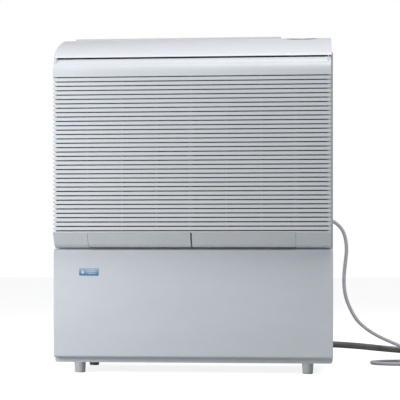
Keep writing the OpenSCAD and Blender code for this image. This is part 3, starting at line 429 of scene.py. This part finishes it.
def moulded(name, colour, rough=0.42, grain=1100, depth=0.03, mottle=0.95):
    """Injection-moulded plastic: spark-eroded texture, faint flow marks and handling sheen."""
    material, tree, shader, place = blank(name)
    flow = noise(tree, place, 5, 4, (1, 1, 3.5))
    cloud = noise(tree, place, 38, 5)
    base = blended(tree, spread(tree, flow, 0, 1), darker(colour, mottle), colour)
    base = blended(tree, spread(tree, cloud, 0, 0.35), base, darker(colour, mottle * 0.985))
    base = dusted(tree, place, base, shade(196, 192, 184), 0.12)
    tree.links.new(base, shader.inputs["Base Color"])
    tree.links.new(spread(tree, cloud, rough - 0.06, rough + 0.08), shader.inputs["Roughness"])
    fine = noise(tree, place, grain, 2)
    pits = add(tree, "ShaderNodeTexVoronoi", Vector=place, Scale=grain * 0.7).outputs["Distance"]
    bumped(tree, shader, (fine, 0.35, depth), (pits, 0.2, depth), (flow, 0.15, 0.3))
    shader.inputs["Specular IOR Level"].default_value = 0.42
    return material


def glossy(name, colour, rough=0.16):
    """Polished lacquer over a moulded base, with fine haze."""
    material, tree, shader, place = blank(name)
    haze = noise(tree, place, 240, 5)
    base = blended(tree, spread(tree, haze, 0, 0.4), colour, darker(colour, 0.9))
    tree.links.new(base, shader.inputs["Base Color"])
    tree.links.new(spread(tree, haze, rough, rough + 0.1), shader.inputs["Roughness"])
    shader.inputs["Coat Weight"].default_value = 0.5
    shader.inputs["Coat Roughness"].default_value = 0.08
    bumped(tree, shader, (noise(tree, place, 60, 2), 0.1, 0.05))
    return material


def rubber(name, colour, rough=0.62, grain=700, depth=0.06):
    """Soft rubber or PVC with a matt skin, bloom and dust."""
    material, tree, shader, place = blank(name)
    bloom = noise(tree, place, 30, 6)
    base = blended(tree, spread(tree, bloom, 0, 1), darker(colour, 0.86), colour)
    base = dusted(tree, place, base, shade(170, 166, 158), 0.25)
    tree.links.new(base, shader.inputs["Base Color"])
    tree.links.new(spread(tree, bloom, rough - 0.1, rough + 0.12), shader.inputs["Roughness"])
    bumped(tree, shader, (noise(tree, place, grain, 4), 0.5, depth), (noise(tree, place, 90, 2), 0.2, 0.2))
    shader.inputs["Specular IOR Level"].default_value = 0.4
    return material


def sheathed(name, colour, streak, rough):
    """Extruded PVC: drawing streaks round the cord, small scuffs and a waxy highlight."""
    material, tree, shader, place = blank(name)
    drawn = noise(tree, place, 130, 4, (1, 1, 0.3))
    scuff = noise(tree, place, 420, 6)
    base = blended(tree, spread(tree, drawn, 0, 0.6), colour, streak)
    base = blended(tree, spread(tree, scuff, 0, 0.5, 0.6, 0.75), base, darker(streak, 1.12))
    tree.links.new(base, shader.inputs["Base Color"])
    tree.links.new(spread(tree, scuff, rough - 0.05, rough + 0.14), shader.inputs["Roughness"])
    bumped(tree, shader, (drawn, 0.25, 0.12), (scuff, 0.3, 0.04))
    shader.inputs["Specular IOR Level"].default_value = 0.5
    return material


def galvanised(name, colour):
    """Zinc-dipped sheet with its spangle."""
    material, tree, shader, place = blank(name)
    cells = add(tree, "ShaderNodeTexVoronoi", Vector=place, Scale=95.0)
    tone = add(tree, "ShaderNodeSeparateColor", Color=cells.outputs["Color"]).outputs[0]
    stain = noise(tree, place, 12, 6)
    base = blended(tree, tone, darker(colour, 0.78), colour)
    base = blended(tree, spread(tree, stain, 0, 0.3), base, shade(150, 146, 138))
    tree.links.new(base, shader.inputs["Base Color"])
    tree.links.new(spread(tree, tone, 0.34, 0.52, 0, 1), shader.inputs["Roughness"])
    shader.inputs["Metallic"].default_value = 0.85
    bumped(tree, shader, (cells.outputs["Distance"], 0.15, 0.05), (noise(tree, place, 600, 3), 0.2, 0.03))
    return material


def metal(name, colour, rough=0.32, tarnish=None, stretch=(1, 1, 12), grain=500):
    """Bare or plated metal: drawn or brushed marks and a little tarnish."""
    material, tree, shader, place = blank(name)
    marks = noise(tree, place, grain, 4, stretch)
    patches = noise(tree, place, 26, 7)
    base = blended(tree, spread(tree, patches, 0, 0.7), colour, tarnish or darker(colour, 0.72))
    base = blended(tree, spread(tree, marks, 0, 0.25), base, darker(colour, 0.6))
    tree.links.new(base, shader.inputs["Base Color"])
    tree.links.new(spread(tree, patches, rough - 0.06, rough + 0.16), shader.inputs["Roughness"])
    shader.inputs["Metallic"].default_value = 1.0
    bumped(tree, shader, (marks, 0.3, 0.04), (patches, 0.1, 0.15))
    return material


def painted(name, colour, rough=0.4, grain=260, depth=0.25):
    """Stove enamel over cast or pressed metal, with orange peel and worn spots."""
    material, tree, shader, place = blank(name)
    wear = noise(tree, place, 70, 9)
    base = blended(tree, spread(tree, wear, 0, 0.8, 0.66, 0.78), colour, shade(118, 112, 104))
    base = dusted(tree, place, base, shade(150, 146, 138), 0.5)
    tree.links.new(base, shader.inputs["Base Color"])
    tree.links.new(spread(tree, wear, rough - 0.08, rough + 0.2), shader.inputs["Roughness"])
    bumped(tree, shader, (noise(tree, place, grain, 3), 0.4, depth), (noise(tree, place, 900, 2), 0.2, 0.03))
    return material


def woven_net(name, colour, thread):
    """Filter net: crossing threads with dust caught on them."""
    material, tree, shader, place = blank(name)
    bands = {"wave_type": "BANDS", "bands_direction": "X"}
    warp = add(tree, "ShaderNodeTexWave", bands, Vector=place, Scale=180.0).outputs["Fac"]
    bands["bands_direction"] = "Z"
    weft = add(tree, "ShaderNodeTexWave", bands, Vector=place, Scale=180.0).outputs["Fac"]
    cross = maths(tree, "MAXIMUM", warp, weft)
    dust = noise(tree, place, 24, 6)
    base = blended(tree, spread(tree, cross, 0, 1, 0.55, 0.85), colour, thread)
    base = blended(tree, spread(tree, dust, 0, 0.35), base, shade(160, 158, 154))
    tree.links.new(base, shader.inputs["Base Color"])
    shader.inputs["Roughness"].default_value = 0.8
    bumped(tree, shader, (cross, 0.8, 0.35), (noise(tree, place, 800, 2), 0.3, 0.05))
    return material


def circuit_board(name):
    """Green lacquered board with copper tracks under the lacquer."""
    material, tree, shader, place = blank(name)
    turned = add(tree, "ShaderNodeMapping", Vector=place, Rotation=(math.radians(90), 0, 0)).outputs["Vector"]
    tracks = add(tree, "ShaderNodeTexBrick", {"offset": 0.5}, Vector=turned, Scale=90.0, Mortar_Size=0.035)
    base = blended(tree, tracks.outputs["Fac"], shade(28, 92, 56), shade(86, 148, 84))
    base = blended(tree, spread(tree, noise(tree, place, 110, 5), 0, 0.3), base, shade(16, 62, 40))
    tree.links.new(base, shader.inputs["Base Color"])
    shader.inputs["Roughness"].default_value = 0.3
    bumped(tree, shader, (tracks.outputs["Fac"], 0.4, 0.05), (noise(tree, place, 500, 2), 0.2, 0.02))
    return material


def printed_scale(name, centre):
    """Three printed zones round the dial, with fine unlettered graduations."""
    material, tree, shader, place = blank(name)
    parts = add(tree, "ShaderNodeSeparateXYZ", Vector=place)
    angle = maths(tree, "ARCTAN2", maths(tree, "SUBTRACT", parts.outputs["Y"], centre.y),
                  maths(tree, "SUBTRACT", parts.outputs["X"], centre.x))
    zones = tree.nodes.new("ShaderNodeValToRGB")
    zones.color_ramp.interpolation = "CONSTANT"
    tree.links.new(spread(tree, angle, 0, 1, -math.pi, 0), zones.inputs["Fac"])
    ramp = zones.color_ramp.elements
    ramp[0].color = shade(88, 124, 168)
    ramp[1].position = 0.395
    ramp[1].color = shade(128, 166, 196)
    ramp.new(0.605).color = shade(150, 124, 150)
    ticks = maths(tree, "SINE", maths(tree, "MULTIPLY", angle, 56.0))
    drawn = spread(tree, ticks, 0, 0.8, 0.93, 0.97)
    base = blended(tree, drawn, zones.outputs["Color"], shade(236, 238, 242))
    base = blended(tree, spread(tree, noise(tree, place, 500, 4), 0, 0.2), base, shade(210, 214, 220))
    tree.links.new(base, shader.inputs["Base Color"])
    shader.inputs["Roughness"].default_value = 0.38
    bumped(tree, shader, (noise(tree, place, 900, 2), 0.3, 0.03))
    return material


def badge_lacquer(name, low, high):
    """Blue enamel that lightens towards the badge's top."""
    material, tree, shader, place = blank(name)
    height = add(tree, "ShaderNodeSeparateXYZ", Vector=place).outputs["Z"]
    base = blended(tree, spread(tree, height, 0, 1, low, high), shade(52, 116, 178), shade(196, 220, 236))
    base = blended(tree, spread(tree, noise(tree, place, 300, 5), 0, 0.25), base, shade(120, 168, 208))
    tree.links.new(base, shader.inputs["Base Color"])
    shader.inputs["Roughness"].default_value = 0.22
    shader.inputs["Coat Weight"].default_value = 0.6
    shader.inputs["Coat Roughness"].default_value = 0.1
    bumped(tree, shader, (noise(tree, place, 220, 2), 0.1, 0.04))
    return material


# The finish of each material slot in the record
knob_low, knob_high = (Vector(c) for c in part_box("humidistat_knob"))
dial_centre = (knob_low + knob_high) / 2
badge_low, badge_high = (Vector(c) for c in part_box("badge"))
WHITE = shade(228, 232, 238)
finishes = {
    "base_plastic": moulded("base_plastic", shade(226, 230, 235), 0.5),
    "foot_rubber": rubber("foot_rubber", shade(214, 218, 222)),
    "zinc_steel": metal("zinc_steel", shade(206, 208, 206), 0.34, shade(186, 180, 158)),
    "casing_plastic": moulded("casing_plastic", WHITE),
    "panel_plastic": moulded("panel_plastic", shade(226, 232, 238)),
    "badge_plastic": badge_lacquer("badge_enamel", badge_low.z, badge_high.z),
    "grille_plastic": moulded("grille_plastic", shade(228, 233, 238), 0.36, 1500, 0.02),
    "filter_plastic": moulded("filter_plastic", shade(228, 233, 238), 0.4),
    "filter_net": woven_net("filter_net", shade(150, 152, 154), shade(206, 208, 210)),
    "cover_plastic": moulded("cover_plastic", shade(234, 237, 243), 0.36, 1500, 0.02),
    "outlet_plastic": moulded("outlet_plastic", shade(216, 220, 224), 0.45),
    "scale_print": printed_scale("scale_print", dial_centre),
    "well_plastic": moulded("well_plastic", shade(214, 216, 220), 0.4),
    "knob_plastic": moulded("knob_plastic", shade(234, 236, 238), 0.32, 1600, 0.02),
    "black_plastic": moulded("black_plastic", shade(44, 45, 47), 0.5, 600, 0.05, 0.8),
    "coated_steel": galvanised("coated_steel", shade(196, 200, 202)),
    "tray_plastic": moulded("tray_plastic", shade(222, 223, 222), 0.5),
    "fin_aluminium": metal("fin_aluminium", shade(208, 212, 216), 0.34, shade(182, 186, 188), (1, 10, 1)),
    "copper_tube": metal("copper_tube", shade(206, 134, 98), 0.3, shade(140, 82, 58), (1, 1, 1), 260),
    "wheel_plastic": moulded("wheel_plastic", shade(66, 70, 76), 0.45, 700, 0.04, 0.85),
    "bronze": metal("bronze", shade(186, 150, 96), 0.42, shade(120, 94, 58), (1, 1, 1), 900),
    "motor_casting": painted("motor_casting", shade(78, 80, 84), 0.5, 480, 0.3),
    "compressor_paint": painted("compressor_paint", shade(26, 27, 29), 0.3, 140, 0.3),
    "black_rubber": rubber("black_rubber", shade(36, 36, 37), 0.7),
    "box_plastic": moulded("box_plastic", shade(224, 226, 228), 0.5),
    "board_resin": circuit_board("board_resin"),
    "capacitor_can": metal("capacitor_can", shade(204, 206, 210), 0.26, None, (12, 12, 1)),
    "hose_pvc": sheathed("hose_pvc", shade(128, 129, 124), shade(100, 102, 98), 0.34),
    "gland_plastic": moulded("gland_plastic", shade(168, 168, 174), 0.55, 800, 0.05),
    "lead_pvc": sheathed("lead_pvc", shade(226, 223, 231), shade(208, 205, 213), 0.42),
    "brass_pins": metal("brass_pins", shade(214, 190, 118), 0.22, shade(170, 140, 80), (12, 1, 1)),
}

# How far each node's edges are rounded, in millimetres; 0 leaves them sharp
EDGE = {
    "front_grille": 1.3, "top_cover": 1.6, "left_side_panel": 1.0, "right_side_panel": 1.0, "rear_panel": 0.8,
    "lower_front_panel": 1.2, "base_tray": 0.8, "outlet_grille": 0.5, "left_filter_frame": 0.5,
    "right_filter_frame": 0.5, "foot_front_left": 1.4, "foot_front_right": 1.4, "foot_rear_left": 1.4,
    "foot_rear_right": 1.4, "foot_screws": 0.4, "humidistat_knob": 0.7, "dial_well": 0.5, "compressor": 1.0,
    "compressor_grommets": 1.0, "terminal_cover": 1.0, "fan_motor": 0.6, "run_capacitor": 1.0,
    "electric_box": 0.6, "drip_tray": 0.6, "plug_pins": 0.8, "control_board": 0.3, "rear_panel_screws": 0.25,
    "evaporator_plates": 0, "condenser_plates": 0, "blower_wheel": 0, "left_filter_mesh": 0,
    "right_filter_mesh": 0, "evaporator_coil": 0, "condenser_coil": 0, "dial_scale": 0.15,
}

USUAL_EDGE = 0.3


def dress(name, slot):
    """Gives a CAD node its material and, where it has corners, rounded edges."""
    shown = nodes[name]
    for place in shown.material_slots:
        place.material = finishes[slot]
    width = EDGE.get(name, USUAL_EDGE)
    if not width:
        return
    bpy.context.view_layer.objects.active = shown
    bpy.ops.mesh.customdata_custom_splitnormals_clear()
    for polygon in shown.data.polygons:
        polygon.use_smooth = True
    soften(shown, width)


for part in record["subparts"]:
    dress(part["node"], part["material_slot"])


def fit(piece, body, slot, *replaced):
    """Puts a made piece on its body, in its material, in place of CAD nodes."""
    piece.data.materials.append(finishes[slot])
    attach(piece, body)
    if replaced:
        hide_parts(*replaced)


fit(mains_lead, "casing", "lead_pvc", "mains_lead", "mains_lead_coil")
fit(boot, "casing", "gland_plastic", "lead_gland")
fit(plug, "casing", "lead_pvc", "mains_plug")
fit(lead_tie, "casing", "black_plastic")
fit(drain_hose, "casing", "hose_pvc", "drain_hose", "drain_hose_coil")
fit(hose_tie, "casing", "black_plastic")

# Badge ----------------------------------------------------------------------


def outline_plate(name, outline, y_back, y_front, round_width):
    """A flat plate standing on the front panel, from an outline in width and height."""
    count = len(outline)
    vertices = [Vector((x, y, z)) for y in (y_back, y_front) for x, z in outline]
    faces = [tuple(range(count)), tuple(range(count, 2 * count))]
    faces += [(k, (k + 1) % count, (k + 1) % count + count, k + count) for k in range(count)]
    made = piece_from(name, vertices, faces)
    soften(made, round_width, 50)
    return made


def rounded_box_outline(low, high, radius):
    """A rectangle with rounded corners."""
    outline = []
    for cx, cz, start in (
        (high[0] - radius, high[1] - radius, 0),
        (low[0] + radius, high[1] - radius, 90),
        (low[0] + radius, low[1] + radius, 180),
        (high[0] - radius, low[1] + radius, 270),
    ):
        outline += rounded_corner((cx, cz), radius, start, start + 90)
    return outline


def drop_outline(x, z, radius):
    """A water drop: a round bottom and a point on top."""
    return [(x, z + 2.1 * radius), *rounded_corner((x, z), radius, 150, 390, 24)]


def wave_outline(x, z, length, swell, thickness):
    """A wavy stripe."""
    steps = 28
    top = []
    for i in range(steps + 1):
        t = i / steps
        height = z + swell * math.sin(4 * math.pi * t)
        top.append((x + length * t, height, thickness * (0.35 + math.sin(math.pi * t))))
    return [(a, b + c / 2) for a, b, c in top] + [(a, b - c / 2) for a, b, c in reversed(top)]


def make_badge():
    """The enamelled badge, with a drop and three waves raised on it."""
    low, high = badge_low, badge_high
    outline = rounded_box_outline((low.x, low.z), (high.x, high.z), 2.5 * MM)
    plate = outline_plate("badge_plate", outline, high.y, low.y, 0.4)
    fit(plate, "casing", "badge_plastic", "badge")
    mark_finish = glossy("badge_marks", shade(240, 244, 250))
    marks = [drop_outline(low.x + 9 * MM, low.z + 7 * MM, 3.1 * MM)]
    for k in range(3):
        marks.append(wave_outline(low.x + 16 * MM, low.z + (5 + 4 * k) * MM, 26 * MM, 0.8 * MM, 1.1 * MM))
    for number, outline in enumerate(marks, 1):
        mark = outline_plate(f"badge_mark_{number}", outline, low.y + 0.2 * MM, low.y - 0.25 * MM, 0.1)
        mark.data.materials.append(mark_finish)
        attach(mark, "casing")


make_badge()

# Studio ---------------------------------------------------------------------


def area_light(name, place, aim, size, power):
    """A round soft lamp, its size in metres and its power in watts."""
    data = bpy.data.lights.new(name, "AREA")
    data.shape = "DISK"
    data.size = size
    data.energy = power
    lamp = bpy.data.objects.new(name, data)
    lamp.location = place
    lamp.rotation_euler = (Vector(aim) - Vector(place)).to_track_quat("-Z", "Y").to_euler()
    bpy.context.collection.objects.link(lamp)


def make_floor():
    """A plain pale sheet that the object stands on, white to the camera."""
    half_side = 12
    below = 0.4 * MM
    signs = ((-1, -1), (1, -1), (1, 1), (-1, 1))
    corners = [Vector((x * half_side, y * half_side, -below)) for x, y in signs]
    floor = piece_from("floor", corners, [(0, 1, 2, 3)], smooth=False)
    material, tree, shader, place = blank("floor_paper")
    tree.links.new(blended(tree, noise(tree, place, 3, 3), shade(180, 181, 182), shade(176, 177, 178)),
                   shader.inputs["Base Color"])
    shader.inputs["Roughness"].default_value = 0.9
    shader.inputs["Emission Color"].default_value = (1, 1, 1, 1)
    seen = add(tree, "ShaderNodeLightPath").outputs["Is Camera Ray"]
    tree.links.new(maths(tree, "MULTIPLY", seen, 0.86), shader.inputs["Emission Strength"])
    floor.data.materials.append(material)


def make_world():
    """White behind the object, and a soft grey-white glow on it."""
    world = bpy.data.worlds.new("studio")
    bpy.context.scene.world = world
    world.use_nodes = True
    tree = world.node_tree
    glow = tree.nodes["Background"]
    glow.inputs["Color"].default_value = (0.96, 0.98, 1.0, 1)
    glow.inputs["Strength"].default_value = 0.18
    behind = add(tree, "ShaderNodeBackground", Color=(1, 1, 1, 1), Strength=1.0)
    seen = add(tree, "ShaderNodeLightPath").outputs["Is Camera Ray"]
    both = tree.nodes.new("ShaderNodeMixShader")
    tree.links.new(seen, both.inputs[0])
    tree.links.new(glow.outputs[0], both.inputs[1])
    tree.links.new(behind.outputs[0], both.inputs[2])
    tree.links.new(both.outputs[0], tree.nodes["World Output"].inputs["Surface"])


make_floor()
make_world()
area_light("key", (-1.15, -1.02, 0.62), (-0.1, -0.12, 0.35), 0.6, 11.0)
area_light("overhead", (0.35, -0.75, 2.3), (0, 0, 0.5), 1.5, 28)
area_light("rear", (1.7, 1.3, 1.5), (0.4, 0.2, 0.1), 0.9, 16)
view = bpy.context.scene.view_settings
view.view_transform = "Standard"
view.look = "None"
